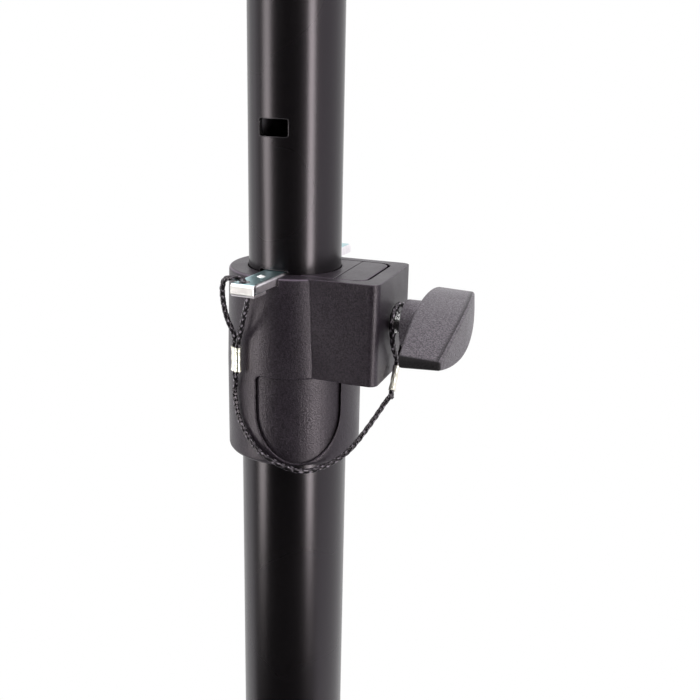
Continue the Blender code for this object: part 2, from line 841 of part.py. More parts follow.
def make_knob(plastic, zinc):
    """The stud and the wing grip moulded on it: a lens in end view, with a bellied outer side."""
    axis = COLLAR_TOP - SCREW_DROP
    hub_start = BLOCK_REACH + HUB_GAP
    wing_start = BLOCK_REACH + WING_INNER
    stud_end = wing_start + WING_REACH - 0.004
    tip = POCKET_REACH - SHOE_BACK_GAP - STUD_TIP_SEAT
    along_x("knob_stud", STUD_RADIUS, tip, stud_end, axis, zinc)
    stations = [wing_station(2 * i / WING_STATIONS - 1) for i in range(WING_STATIONS + 1)]
    grip = loft("knob_grip", stations, plastic)
    place(grip, (0, 0, axis), Matrix.Rotation(math.radians(WING_TURN_DEG), 4, "X"))
    soften(grip, WING_EDGE, 3, 35)
    grip = realised(grip)
    hub = along_x(
        "hub_body", HUB_RADIUS, hub_start, wing_start + 0.0007, axis, cutter=True, steps=STEPS
    )
    soften(hub, 0.0006, 2, 60)
    boolean(grip, hub, "UNION")
    bore = along_x("knob_bore", STUD_RADIUS + GAP, 0, stud_end + GAP, axis, cutter=True)
    boolean(grip, bore)


def hook_profile():
    """The hooked end's side view, as (distance out, height): down at the lip and back in below."""
    foot = PIN_TOP - PIN_LIP
    bend = PIN_LIP_BEND
    thick = PIN_THICK
    top = PIN_TOP - PIN_SEAM
    under = PIN_TOP - thick + PIN_SEAM
    start = PIN_OUT - PIN_RELIEF - thick
    tongue_top = foot + 0.9 * thick
    outside = (
        [(start, top)]
        + arc((PIN_OUT - bend, top - bend), bend, 90, 0, 4)
        + arc((PIN_OUT - bend, foot + bend), bend, 0, -90, 4)
        + [(PIN_OUT - PIN_TONGUE, foot)]
    )
    inside = [
        (PIN_OUT - PIN_TONGUE, tongue_top),
        (PIN_OUT - thick - 0.0003, tongue_top),
        (PIN_OUT - thick, tongue_top + 0.0003),
        (PIN_OUT - thick, under - 0.0003),
        (PIN_OUT - thick - 0.0003, under),
        (start, under),
    ]
    return list(reversed(outside + inside))


def channel_profile():
    """The pin's cross-section, as (across, height): a sheet with both edges folded down."""
    half = PIN_WIDTH / 2
    foot = PIN_TOP - PIN_HEIGHT
    under = PIN_TOP - PIN_THICK
    inner = half - PIN_THICK
    return (
        [(half, foot)]
        + arc((half - PIN_EDGE, PIN_TOP - PIN_EDGE), PIN_EDGE, 0, 90, 4)
        + arc((-half + PIN_EDGE, PIN_TOP - PIN_EDGE), PIN_EDGE, 90, 180, 4)
        + [(-half, foot), (-inner, foot), (-inner, under), (inner, under), (inner, foot)]
    )


def make_pin(zinc):
    """The folded strip, made along Y with its hooked end at -Y, and then turned into place."""
    pin = flat_outline(
        "safety_pin", [channel_profile()], -PIN_IN, PIN_OUT - PIN_RELIEF, zinc
    )
    place(pin, (0, 0, 0), Matrix.Rotation(math.radians(90), 4, "X"))
    pin_placed(pin)
    hook = flat_outline(
        "pin_hook", [hook_profile()], -PIN_LIP_WIDTH / 2, PIN_LIP_WIDTH / 2, cutter=True
    )
    place(hook, (0, 0, 0), Matrix(((0, 0, -1), (-1, 0, 0), (0, 1, 0))).to_4x4())
    soften(hook, 0.0004, 1, 60)
    boolean(pin, pin_placed(hook), "UNION", "MANIFOLD")
    hole = cylinder("pin_hole_cutter", PIN_HOLE_RADIUS, -0.02, 0.02, cutter=True, steps=20)
    place(hole, (PIN_HOLE_SIDE, -PIN_OUT + PIN_HOLE_BACK, 0))
    boolean(pin, pin_placed(hole))


def smooth_run(points, step):
    """Points about a step apart on a smooth curve from the second given point to the last but one."""
    fine = []
    for a, b, c, d in zip(points, points[1:], points[2:], points[3:]):
        for i in range(20):
            t = i / 20
            square = (2 * a - 5 * b + 4 * c - d) * t**2
            cube = (3 * b - a - 3 * c + d) * t**3
            fine.append(0.5 * (2 * b + (c - a) * t + square + cube))
    fine.append(points[-2])
    length = sum((q - p).length for p, q in zip(fine, fine[1:]))
    count = max(1, round(length / step))
    out, gone, target = [fine[0]], 0.0, length / count
    for p, q in zip(fine, fine[1:]):
        piece = (q - p).length
        while gone + piece >= target * len(out) - 1e-9 and len(out) < count:
            out.append(p.lerp(q, (target * len(out) - gone) / piece))
        gone += piece
    return out + [fine[-1]]


def crimp_strands(crimp, side):
    """The top and bottom ends of a strand's straight run through a crimp, a little past its ends."""
    top, bottom = (Vector(end) for end in crimp)
    beyond = (top - bottom).normalized() * CRIMP_OVERRUN
    across = crimp_across(crimp) * side * STRAND_PITCH / 2
    return top + beyond + across, bottom - beyond + across


def crimp_across(crimp):
    """The direction from one strand to the other: level, and square to the crimp."""
    top, bottom = (Vector(end) for end in crimp)
    run = top - bottom
    out = Vector((top.x, top.y, 0)) if crimp is PIN_CRIMP else Vector((1, 0.34, 0))
    return run.cross(out).normalized()


def make_ferrule(name, crimp, silver):
    """An oval sleeve crimped round the cord's two strands."""
    top, bottom = (Vector(end) for end in crimp)
    tall = CORD_DIAMETER / 2 + CORD_GAP
    wide = STRAND_PITCH / 2 + tall

    def oval(extra):
        radius = tall + extra
        shift = wide - tall
        return arc((shift, 0), radius, -90, 90, 8) + arc((-shift, 0), radius, 90, 270, 8)

    length = (top - bottom).length
    made = flat_outline(name, [oval(FERRULE_WALL), oval(0)], -length / 2, length / 2, silver)
    run = (top - bottom).normalized()
    across = crimp_across(crimp)
    third = run.cross(across)
    turn = Matrix((across, third, run)).transposed().to_4x4()
    place(made, (top + bottom) / 2 + Vector((0, 0, COLLAR_TOP)), turn)


def lanyard_points():
    """The cord's points: straight through each crimp, and smooth curves between the crimps."""
    pin_left = crimp_strands(PIN_CRIMP, -1)
    pin_right = crimp_strands(PIN_CRIMP, 1)
    knob_near = crimp_strands(KNOB_CRIMP, -1)
    knob_far = crimp_strands(KNOB_CRIMP, 1)
    loop, swag, knob = ([Vector(p) for p in run] for run in (PIN_LOOP, SLEEVE_SWAG, KNOB_LOOP))
    tail = [Vector(p) for p in KNOB_TAIL]
    return (
        [pin_right[1]]
        + smooth_run([pin_right[1], pin_right[0], *reversed(loop), *pin_left], LOOP_STEP)
        + smooth_run([*pin_left, *swag, *reversed(knob_near)], SWAG_STEP)
        + smooth_run([*reversed(knob_near), *knob, *knob_far], LOOP_STEP)
        + [knob_far[1]]
        + tail
    )


def make_lanyard(cord_finish, silver):
    points = lanyard_points()
    curve = bpy.data.curves.new("lanyard", "CURVE")
    curve.dimensions = "3D"
    curve.bevel_depth = CORD_DIAMETER / 2
    curve.bevel_resolution = 2
    curve.use_fill_caps = True
    line = curve.splines.new("POLY")
    line.points.add(len(points) - 1)
    for point, place_at in zip(line.points, points):
        point.co = (*(place_at + Vector((0, 0, COLLAR_TOP))), 1)
    cord = bpy.data.objects.new("lanyard", curve)
    keep(cord, "lanyard", cord_finish)
    length = sum((q - p).length for p, q in zip(points, points[1:]))
    print(f"lanyard: {length:.4f} m in {len(points)} points")
    make_ferrule("ferrule_pin_end", PIN_CRIMP, silver)
    make_ferrule("ferrule_knob_end", KNOB_CRIMP, silver)


def make_top(tube_top, black, steel, rubber, zinc):
    """The socket on the upper tube, and the plate and pads that carry the monitor."""
    inside = tube_top + GAP
    flange_top = inside + SOCKET_FLANGE_THICK
    skirt = inside - SOCKET_HEIGHT
    bore = UPPER_TUBE_RADIUS + SLIP
    socket = turned_part(
        "plate_socket",
        [
            (0, flange_top),
            (SOCKET_FLANGE_RADIUS - 0.001, flange_top),
            (SOCKET_FLANGE_RADIUS, flange_top - 0.001),
            (SOCKET_FLANGE_RADIUS, inside),
            (SOCKET_RADIUS + 0.004, inside),
            (SOCKET_RADIUS, inside - 0.006),
            (SOCKET_RADIUS, skirt + 0.001),
            (SOCKET_RADIUS - 0.001, skirt),
            (bore, skirt),
            (bore, inside),
            (0, inside),
        ],
        black,
    )
    plate_bottom = flange_top + GAP
    plate_top = plate_bottom + PLATE_THICK
    sink_end = plate_top - PLATE_SCREW_HEAD + PLATE_SCREW_RADIUS - GAP
    half = PLATE_SIDE / 2
    plate = flat_outline(
        "top_plate",
        [rounded_box((-half, -half), (half, half), PLATE_CORNER, 8)],
        plate_bottom,
        plate_top,
        steel,
    )
    soften(plate, 0.0008, 2, 60)
    for i, at in enumerate(ring_places(PLATE_SCREW_CIRCLE, PLATE_SCREW_COUNT), 1):
        hole = cylinder(
            f"plate_hole_{i}",
            PLATE_SCREW_RADIUS + GAP,
            skirt,
            2 * plate_top,
            cutter=True,
            at=at,
            steps=20,
        )
        sink = turned_part(
            f"plate_sink_{i}",
            [
                (0, plate_top + 0.001),
                (PLATE_SCREW_HEAD + GAP + 0.001, plate_top + 0.001),
                (PLATE_SCREW_RADIUS + GAP / 2, sink_end),
                (0, sink_end),
            ],
            cutter=True,
            steps=24,
        )
        place(sink, (*at, 0))
        boolean(plate, hole)
        boolean(plate, sink)
        boolean(socket, hole)
        screw = turned_part(
            f"plate_screw_{i}",
            [
                (0, plate_top - 0.0014),
                (0.0016, plate_top - 0.0014),
                (0.0016, plate_top - 0.0002),
                (PLATE_SCREW_HEAD - GAP, plate_top - 0.0002),
                (PLATE_SCREW_RADIUS, plate_top - PLATE_SCREW_HEAD + PLATE_SCREW_RADIUS),
                (PLATE_SCREW_RADIUS, inside + 0.001),
                (0, inside + 0.001),
            ],
            zinc,
            steps=20,
        )
        place(screw, (*at, 0))
    make_socket_screw(socket, inside - SOCKET_HEIGHT / 2, zinc)
    make_pads(plate_top, rubber)


def make_socket_screw(socket, height, zinc):
    """The set screw that keeps the plate from turning, at the back."""
    bore = UPPER_TUBE_RADIUS + GAP
    wide = SOCKET_SCREW_RADIUS + THREAD_GAP / 2
    hole = cylinder("socket_screw_hole", wide, 0, 2 * SOCKET_RADIUS, cutter=True, steps=20)
    screw = turned_part(
        "socket_screw",
        [
            (0, SOCKET_RADIUS - 0.0012),
            (0.0015, SOCKET_RADIUS - 0.0012),
            (0.0015, SOCKET_RADIUS + 0.0006),
            (SOCKET_SCREW_RADIUS - 0.0004, SOCKET_RADIUS + 0.0006),
            (SOCKET_SCREW_RADIUS, SOCKET_RADIUS + 0.0002),
            (SOCKET_SCREW_RADIUS, bore),
            (0, bore),
        ],
        zinc,
        steps=24,
    )
    lay = Matrix.Rotation(math.radians(-90), 4, "X")
    for thing in (hole, screw):
        place(thing, (0, 0, height), lay)
    boolean(socket, hole)


def make_pads(plate_top, rubber):
    """Four rubber strips across the plate's corners."""
    bottom = plate_top + GAP
    for i, at in enumerate(square_places(PAD_INSET, PLATE_SIDE), 1):
        far = (PAD_LENGTH / 2, PAD_WIDTH / 2)
        outline = rounded_box((-far[0], -far[1]), far, PAD_WIDTH / 2 - 0.0005, 5)
        pad = flat_outline(f"plate_pad_{i}", [outline], bottom, bottom + PAD_THICK, rubber)
        angle = 45 if at[0] * at[1] < 0 else -45
        place(pad, (*at, 0), Matrix.Rotation(math.radians(angle), 4, "Z"))
        soften(pad, 0.0006, 1, 60)


def hang_movers():
    """The pieces of each moving body on an empty at its joint."""
    screw_height = COLLAR_TOP - SCREW_DROP
    on_tube = ["upper_tube", "guide_bush", "plate_socket", "socket_screw", "top_plate"]
    on_tube += [f"plate_screw_{i}" for i in range(1, PLATE_SCREW_COUNT + 1)]
    on_tube += [f"plate_pad_{i}" for i in range(1, 5)]
    hang("height_axis", (0, 0, COLLAR_TOP), *on_tube)
    hang("shoe_axis", (UPPER_TUBE_RADIUS, 0, screw_height), "pressure_shoe")
    hang("knob_axis", (BLOCK_REACH, 0, screw_height), "knob_stud", "knob_grip")
    hang("pin_axis", (PIN_SHIFT, 0, COLLAR_TOP), "safety_pin")


def main():
    clear_scene()
    black = material("black_powder_coat", (0.02, 0.02, 0.021), 0.38)
    steel = material("black_steel_plate", (0.022, 0.022, 0.024), 0.5)
    plastic = material("charcoal_plastic", (0.045, 0.042, 0.046), 0.55)
    grey_plastic = material("grey_plastic", (0.12, 0.12, 0.125), 0.55)
    rubber = material("black_rubber", (0.02, 0.02, 0.02), 0.8)
    nylon = material("white_nylon", (0.7, 0.7, 0.66), 0.45)
    dark_steel = material("dark_steel", (0.06, 0.06, 0.062), 0.4, 1.0)
    zinc = material("zinc_plate", (0.72, 0.73, 0.74), 0.28, 1.0)
    silver = material("silver_aluminium", (0.86, 0.86, 0.84), 0.3, 1.0)
    cord = material("black_cord", (0.012, 0.012, 0.013), 0.45)
    base_top = make_base(steel, rubber, zinc)
    tube_top = make_tubes(base_top, black, nylon)
    make_housing(plastic, dark_steel, zinc)
    make_knob(grey_plastic, zinc)
    make_pin(zinc)
    make_lanyard(cord, silver)
    make_top(tube_top, black, steel, rubber, zinc)
    hang_movers()


main()
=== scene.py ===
"""Looks of a studio monitor stand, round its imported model: the lanyard and its crimps, the stud's
thread, the dome in the safety pin, the coat round the tube's slots, a procedural finish on every
piece, and a white studio.

Metres, +Z up. The tubes run along Z, the camera's side is -Y, and the clamp's knob points along +X.
"""

import math

import bpy
from mathutils import Matrix, Vector

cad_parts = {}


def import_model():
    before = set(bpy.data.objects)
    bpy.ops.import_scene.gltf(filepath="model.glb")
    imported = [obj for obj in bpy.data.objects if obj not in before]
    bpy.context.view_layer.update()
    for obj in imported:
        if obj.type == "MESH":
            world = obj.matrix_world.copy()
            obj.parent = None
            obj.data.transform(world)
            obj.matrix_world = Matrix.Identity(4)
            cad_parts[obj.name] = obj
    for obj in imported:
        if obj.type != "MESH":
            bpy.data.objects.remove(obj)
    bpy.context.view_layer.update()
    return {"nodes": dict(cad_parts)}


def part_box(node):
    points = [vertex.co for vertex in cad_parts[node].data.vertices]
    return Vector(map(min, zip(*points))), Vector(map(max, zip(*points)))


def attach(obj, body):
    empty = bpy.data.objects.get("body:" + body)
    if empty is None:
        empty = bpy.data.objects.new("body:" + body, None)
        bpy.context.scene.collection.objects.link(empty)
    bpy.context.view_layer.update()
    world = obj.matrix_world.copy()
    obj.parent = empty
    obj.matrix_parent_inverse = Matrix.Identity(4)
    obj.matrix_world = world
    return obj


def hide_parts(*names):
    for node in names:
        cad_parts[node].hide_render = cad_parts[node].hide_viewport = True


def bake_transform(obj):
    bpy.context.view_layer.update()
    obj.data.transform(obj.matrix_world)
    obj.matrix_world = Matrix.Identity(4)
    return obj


# Camera, fitted to the photograph's tube edges, collar, slot and block corners. The sensor is in
# millimetres, and the angles are in degrees.
PICTURE_PIXELS = 700
FOCAL_PIXELS = 993.85
SENSOR = 36.0
CAMERA_PLACE = (0.13631, -0.33260, 0.93830)
CAMERA_AZIMUTH = 18.964
CAMERA_ELEVATION = 17.156
CAMERA_ROLL = 1.258
CAMERA_REACH = (0.01, 50.0)

# Strips of light that only reflections show. An azimuth is in degrees from -Y towards +X.
STRIP_DISTANCE = 0.90
STRIP_BOTTOM = 0.30
STRIP_HEIGHT = 1.50
STRIP_COLOR = (1.0, 1.01, 0.92)
STRIPS = {
    "left_strip": {"azimuth": -49.0, "width": 0.27, "radiance": 7.0},
    "right_strip": {"azimuth": 59.0, "width": 0.20, "radiance": 13.0},
}

# Studio round the stand: dark on the camera's side, and white from where a direction's Y passes
# STUDIO_EDGE. The canopy overhead brightens where a direction's Z passes CANOPY_EDGE.
STUDIO_DARK = 0.015
STUDIO_WHITE = 1.0
STUDIO_EDGE = (-0.42, -0.08)
CANOPY_EDGE = (0.65, 0.90)
CANOPY_LIGHT = 2.6

# Floor, which turns pure white to the camera between two distances from the stand's middle
FLOOR_COLOR = 0.82
FLOOR_ROUGHNESS = 0.9
FLOOR_HALF = 6.0
FLOOR_FADE = (0.45, 0.85)

# Finishes. A tint multiplies a shade's red, green and blue.
NEUTRAL = (1.0, 1.0, 1.0)
COAT_TINT = (1.1, 0.9, 1.0)
GLOSS_TINT = (1.0, 0.88, 1.02)
NYLON_TINT = (1.0, 1.0, 0.95)
NOISE_RANGE = (0.3, 0.7)
BEVEL_SAMPLES = 6
WEAR_SAMPLES = 4
WEAR_RADIUS = 0.0004
SCRATCH_DEPTH = 0.00003

# Moulded plastic. Specks, worn edges and the painted highlight on rounded top shoulders are paler
# than its light shade by these factors, and the painted shade in creases is darker than its dark
# one. Its corners are shaded as if they had the soft radius.
SPECK_PALE = 2.4
WEAR_AND_HIGHLIGHT_PALE = 4.0
EDGE_RUB = 0.4
CREASE_PAINTED_SHADE = 0.3
CREASE_REACH = 0.0009
CREASE_SHADED_GLOSS = 0.10
OPEN_GLOSS = 0.45
MOULDINGS = {
    "textured_coat": {
        "shades": (0.010, 0.018),
        "tint": (1.0, 1.0, 1.03),
        "roughness": 0.44,
        "grain_depth": 0.00007,
        "soft_radius": 0.0005,
        "shoulder_highlight": 0.9,
    },
    "charcoal_moulding": {
        "shades": (0.010, 0.038),
        "tint": (1.0, 0.76, 1.04),
        "roughness": 0.36,
        "grain_depth": 0.00016,
        "soft_radius": 0.0008,
        "shoulder_highlight": 0.9,
    },
    "wing_plastic": {
        "shades": (0.050, 0.175),
        "tint": (1.0, 0.91, 1.02),
        "roughness": 0.42,
        "grain_depth": 0.00040,
        "soft_radius": 0.0003,
        "shoulder_highlight": 0.0,
    },
}

# Wing knob. It turns on an axis at the height WING_AXIS. Its outer rim is at WING_RIM along X and
# bellies out in the middle. Painted shade darkens a band inside the rim, and both ends past WING_END.
WING_AXIS = 0.8423
WING_TURN_DEG = 15.2
WING_HALF_LENGTH = 0.0258
WING_RIM = 0.0623
WING_BELLY = 0.0034
WING_BAND = (0.0009, 0.0024)
WING_BAND_SOFT = 0.0003
WING_BAND_SHADE = 0.75
WING_END = (0.0246, 0.0254)
WING_END_SHADE = 0.95
WING_PAINTED_SHADE = 0.012
WING_SHADED_GLOSS = 0.25

# Shading of the solids: points nearer than this are one, and a sharper turn stays an edge
WELD_REACH = 0.000001
SHARP_DEG = 32
CRIMP_SHARP_DEG = 50

# Housing's top face, from which the slots' heights and the lanyard's points are measured
COLLAR_TOP = 0.860

# Upper tube's slots, and the coat's build-up round them
UPPER_TUBE_RADIUS = 0.017
SLOT_PITCH = 0.0523
SLOT_MIDDLE = -0.0019
SLOTS_ABOVE = 3
SLOTS_BELOW = 3
SLOT_WIDTH = 0.0114
SLOT_HEIGHT = 0.0062
SLOT_CORNER = 0.0008
SLOT_TURN_DEG = -6.0
CORNER_POINTS = 4
RIM_RADIUS = 0.00017
RIM_STEP = 0.0006

# Stud's thread
STUD_RADIUS = 0.0039
THREAD_PITCH = 0.00125
THREAD_DEPTH = 0.0006
THREAD_CREST = 1.35
THREAD_END = 0.0002
THREAD_SIDES = 36
THREAD_STEPS_A_TURN = 10

# Dome pressed in the safety pin, between its hole and the tube
DIMPLE_PLACE = (-0.0016, -0.0268)
DIMPLE_RADIUS = 0.0022
DIMPLE_HEIGHT = 0.0006
DIMPLE_SINK = 0.0002
DIMPLE_MIDDLE = 0.01
DIMPLE_RINGS = 10
DIMPLE_SIDES = 32

# Crimps. The flare and the pressed dents are placed and sized as shares of a crimp's length.
FERRULE_WALL = 0.0003
FERRULE_FLARE = 0.00014
FERRULE_FLARE_SHARE = 0.05
FERRULE_DENT = 0.00016
FERRULE_DENT_SHARE = 0.11
FERRULE_DENTS_AT = (0.30, 0.68)
FERRULE_SQUARENESS = (0.72, 0.86)
FERRULE_WAIST = 0.22
FERRULE_WAIST_WIDTH = 0.0005
FERRULE_STATIONS = 40
FERRULE_BORE_STATIONS = 4
FERRULE_SIDES = 48

# Lanyard, and its way from the middle of the housing's top face. It starts in the crimp at the pin,
# loops through the pin's hole, hangs round the sleeve to the crimp under the knob, loops round the
# stud, and ends in a short tail.
CORD_DIAMETER = 0.0017
CORD_GAP = 0.00012
STRAND_PITCH = 0.0019
CRIMP_OVERRUN = 0.0008
CORD_STEP = 0.00016
CURVE_STEPS = 20
ROUNDING = 1e-9
CORD_SIDES = 24
BRAID_STRANDS = 3
BRAID_PITCH = 0.0034
BRAID_RELIEF = 0.00030
BRAID_INSET = 0.5
BRAID_DIP = 0.75
PIN_CRIMP = ((-0.0126, -0.0246, -0.0262), (-0.0127, -0.0246, -0.0352))
KNOB_CRIMP = ((0.0408, -0.0024, -0.0335), (0.0406, -0.0066, -0.0415))
KNOB_CRIMP_OUT = (1.0, 0.34, 0.0)
PIN_LOOP = (
    (-0.0126, -0.0268, -0.0205),
    (-0.0133, -0.0291, -0.0159),
    (-0.0137, -0.0307, -0.0117),
    (-0.0136, -0.0323, -0.0074),
    (-0.0129, -0.0342, -0.0035),
    (-0.0118, -0.0358, -0.0006),
    (-0.0103, -0.0369, 0.0014),
    (-0.0083, -0.0374, 0.0021),
    (-0.0061, -0.0373, 0.0023),
    (-0.0042, -0.0369, 0.0018),
    (-0.0032, -0.0367, 0.0002),
    (-0.0029, -0.0366, -0.0022),
    (-0.0027, -0.0361, -0.0048),
    (-0.0040, -0.0340, -0.0081),
    (-0.0063, -0.0314, -0.0128),
    (-0.0085, -0.0288, -0.0177),
    (-0.0104, -0.0266, -0.0220),
)
SLEEVE_SWAG = (
    (-0.0138, -0.0226, -0.0400),
    (-0.0148, -0.0218, -0.0440),
    (-0.0141, -0.0222, -0.0490),
    (-0.0126, -0.0230, -0.0538),
    (-0.0099, -0.0243, -0.0578),
    (-0.0063, -0.0254, -0.0619),
    (-0.0026, -0.0261, -0.0651),
    (0.0017, -0.0262, -0.0673),
    (0.0067, -0.0254, -0.0695),
    (0.0111, -0.0238, -0.0708),
    (0.0150, -0.0216, -0.0711),
    (0.0188, -0.0193, -0.0700),
    (0.0229, -0.0169, -0.0679),
    (0.0261, -0.0150, -0.0654),
    (0.0292, -0.0131, -0.0617),
    (0.0317, -0.0116, -0.0579),
    (0.0342, -0.0102, -0.0538),
    (0.0366, -0.0087, -0.0496),
    (0.0387, -0.0076, -0.0458),
)
KNOB_LOOP = (
    (0.0408, -0.0052, -0.0275),
    (0.0406, -0.0074, -0.0235),
    (0.0404, -0.0083, -0.0195),
    (0.0403, -0.0086, -0.0160),
    (0.0403, -0.0072, -0.0129),
    (0.0404, -0.0040, -0.0111),
    (0.0406, 0.0000, -0.0108),
    (0.0409, 0.0040, -0.0124),
    (0.0411, 0.0064, -0.0154),
    (0.0412, 0.0064, -0.0188),
    (0.0412, 0.0055, -0.0221),
    (0.0411, 0.0040, -0.0255),
    (0.0410, 0.0018, -0.0290),
)
KNOB_TAIL = ((0.0409, -0.0076, -0.0440),)


def direction(azimuth):
    """A level unit vector at an azimuth."""
    angle = math.radians(azimuth)
    return Vector((math.sin(angle), -math.cos(angle), 0))


def link(thing):
    """Put a new object in the scene."""
    bpy.context.scene.collection.objects.link(thing)
    return thing


def make_camera():
    """The camera at the place, direction and roll from which the photograph was taken."""
    data = bpy.data.cameras.new("camera")
    data.sensor_width = SENSOR
    data.lens = FOCAL_PIXELS * SENSOR / PICTURE_PIXELS
    data.clip_start, data.clip_end = CAMERA_REACH
    camera = link(bpy.data.objects.new("camera", data))
    above = math.radians(CAMERA_ELEVATION)
    back = direction(CAMERA_AZIMUTH) * math.cos(above) + Vector((0, 0, math.sin(above)))
    right = direction(CAMERA_AZIMUTH + 90)
    level = Matrix((right, back.cross(right), back))
    tilt = Matrix.Rotation(-math.radians(CAMERA_ROLL), 3, "Z")
    turn = (tilt @ level).transposed().to_4x4()
    camera.matrix_world = Matrix.Translation(CAMERA_PLACE) @ turn
    bpy.context.scene.camera = camera


def make_strip(name, azimuth, width, radiance):
    """An upright strip light that faces the tubes and shows only as a reflection in them."""
    data = bpy.data.lights.new(name, "AREA")
    data.shape = "RECTANGLE"
    data.size = width
    data.size_y = STRIP_HEIGHT
    data.energy = math.pi * width * STRIP_HEIGHT * radiance
    data.color = STRIP_COLOR
    light = link(bpy.data.objects.new(name, data))
    outward = direction(azimuth)
    middle = outward * STRIP_DISTANCE + Vector((0, 0, STRIP_BOTTOM + STRIP_HEIGHT / 2))
    turn = outward.to_track_quat("Z", "Y").to_matrix().to_4x4()
    light.matrix_world = Matrix.Translation(middle) @ turn
    light.visible_camera = False
    light.visible_diffuse = False


class Nodes:
    """A short way to write a node tree."""

    def __init__(self, tree):
        self.tree = tree

    def add(self, kind, output=0, settings=None, **inputs):
        """A new node's output, by name or number. An input goes by its name, or by number as i0."""
        made = self.tree.nodes.new(kind)
        for name, value in (settings or {}).items():
            setattr(made, name, value)
        for name, value in inputs.items():
            key = int(name[1:]) if name[1:].isdigit() else name.replace("_", " ")
            self.put(value, made.inputs[key])
        return made.outputs[output]

    def put(self, value, socket):
        """Another node's output, or a plain value, into a socket."""
        if isinstance(value, bpy.types.NodeSocket):
            self.tree.links.new(value, socket)
        else:
            socket.default_value = value

    def math(self, operation, a, b=0.0):
        return self.add("ShaderNodeMath", settings={"operation": operation}, i0=a, i1=b)

    def ramp(self, value, low, high, out_low=0.0, out_high=1.0, smooth=False):
        """A number that goes from out_low to out_high while the value goes from low to high."""
        settings = {"interpolation_type": "SMOOTHSTEP" if smooth else "LINEAR"}
        return self.add(
            "ShaderNodeMapRange",
            settings=settings,
            Value=value,
            From_Min=low,
            From_Max=high,
            To_Min=out_low,
            To_Max=out_high,
        )

    def vary(self, noise, low, high):
        """A number that a noise moves between low and high."""
        return self.ramp(noise, *NOISE_RANGE, low, high)

    def mix(self, factor, a, b):
        """A mix of two colours."""
        return self.add("ShaderNodeMix", 2, {"data_type": "RGBA"}, Factor=factor, i6=a, i7=b)

    def choose(self, factor, a, b):
        """A mix of two numbers."""
        return self.add("ShaderNodeMix", Factor=factor, i2=a, i3=b)

    def axis(self, vector, letter):
        """One coordinate of a vector."""
        return self.add("ShaderNodeSeparateXYZ", letter, Vector=vector)

    def place(self, stretch=(1, 1, 1)):
        """The point on the piece, in metres, stretched along its axes."""
        point = self.add("ShaderNodeTexCoord", "Object")
        return self.add("ShaderNodeMapping", Vector=point, Scale=stretch)

    def normal(self):
        """The direction that the surface faces."""
        return self.add("ShaderNodeNewGeometry", "Normal")

    def ray(self):
        """The outputs that say what kind of ray meets the surface."""
        return self.tree.nodes.new("ShaderNodeLightPath").outputs

    def noise(self, point, size, detail=3.0, roughness=0.5):
        """A noise whose features are about a size in metres."""
        return self.add(
            "ShaderNodeTexNoise", Vector=point, Scale=1 / size, Detail=detail, Roughness=roughness
        )

    def bump(self, height, strength, depth, under=None):
        """A normal that follows a height, over another normal if one is given."""
        inputs = {"Height": height, "Strength": strength, "Distance": depth}
        if under is not None:
            inputs["Normal"] = under
        return self.add("ShaderNodeBump", **inputs)

    def rounded(self, radius, samples):
        """The normal of the surface as if its corners were round."""
        return self.add("ShaderNodeBevel", settings={"samples": samples}, Radius=radius)

    def edge_wear(self, start, end):
        """1 on sharp outer edges and 0 on flats, from how far a rounded normal turns there."""
        rounded = self.rounded(WEAR_RADIUS, WEAR_SAMPLES)
        settings = {"operation": "DOT_PRODUCT"}
        same = self.add("ShaderNodeVectorMath", "Value", settings, i0=rounded, i1=self.normal())
        return self.ramp(same, start, end, 1.0, 0.0)


def new_finish(name):
    """A material with a node tree, its shader, and the tree's writer."""
    made = bpy.data.materials.new(name)
    made.use_nodes = True
    shader = made.node_tree.nodes["Principled BSDF"]
    return made, shader, Nodes(made.node_tree)


def grey(value, tint=NEUTRAL):
    """A colour from a shade and a tint."""
    return (value * tint[0], value * tint[1], value * tint[2], 1)


def powder_coat():
    """Satin black coat with a fine orange peel, a little thinner and lighter on edges."""
    made, shader, tree = new_finish("powder_coat")
    point = tree.place()
    peel = tree.noise(point, size=0.0016, detail=2.0)
    speck = tree.noise(point, size=0.0003, detail=2.0)
    cloud = tree.noise(point, size=0.06, detail=2.0)
    wear = tree.edge_wear(0.80, 0.97)
    shade = tree.mix(cloud, grey(0.0035, COAT_TINT), grey(0.0055, COAT_TINT))
    chipped = tree.math("MULTIPLY", wear, tree.ramp(speck, 0.42, 0.62))
    tree.put(tree.mix(chipped, shade, grey(0.10)), shader.inputs["Base Color"])
    shader.inputs["Specular Tint"].default_value = grey(1.0, GLOSS_TINT)
    tree.put(tree.vary(cloud, 0.25, 0.29), shader.inputs["Roughness"])
    fine = tree.bump(speck, strength=0.10, depth=0.00003)
    tree.put(tree.bump(peel, strength=0.12, depth=0.00008, under=fine), shader.inputs["Normal"])
    return made


def painted_shoulder_highlight(tree):
    """Painted highlight mask: 1 where a surface faces partly up, as a rounded top edge does, and 0 on
    tops and walls.
    """
    upward = tree.axis(tree.normal(), "Z")
    from_wall = tree.ramp(upward, 0.40, 0.60)
    to_top = tree.ramp(upward, 0.78, 0.93, 1.0, 0.0)
    return tree.math("MULTIPLY", from_wall, to_top)


def clear_of_crease_shade(tree):
    """Mask for the painted crease shade: 0 deep in a crease between two walls, and 1 out of it."""
    settings = {"samples": 6, "only_local": True}
    openness = tree.add("ShaderNodeAmbientOcclusion", "AO", settings, Distance=CREASE_REACH)
    return tree.ramp(openness, 0.45, 0.92)


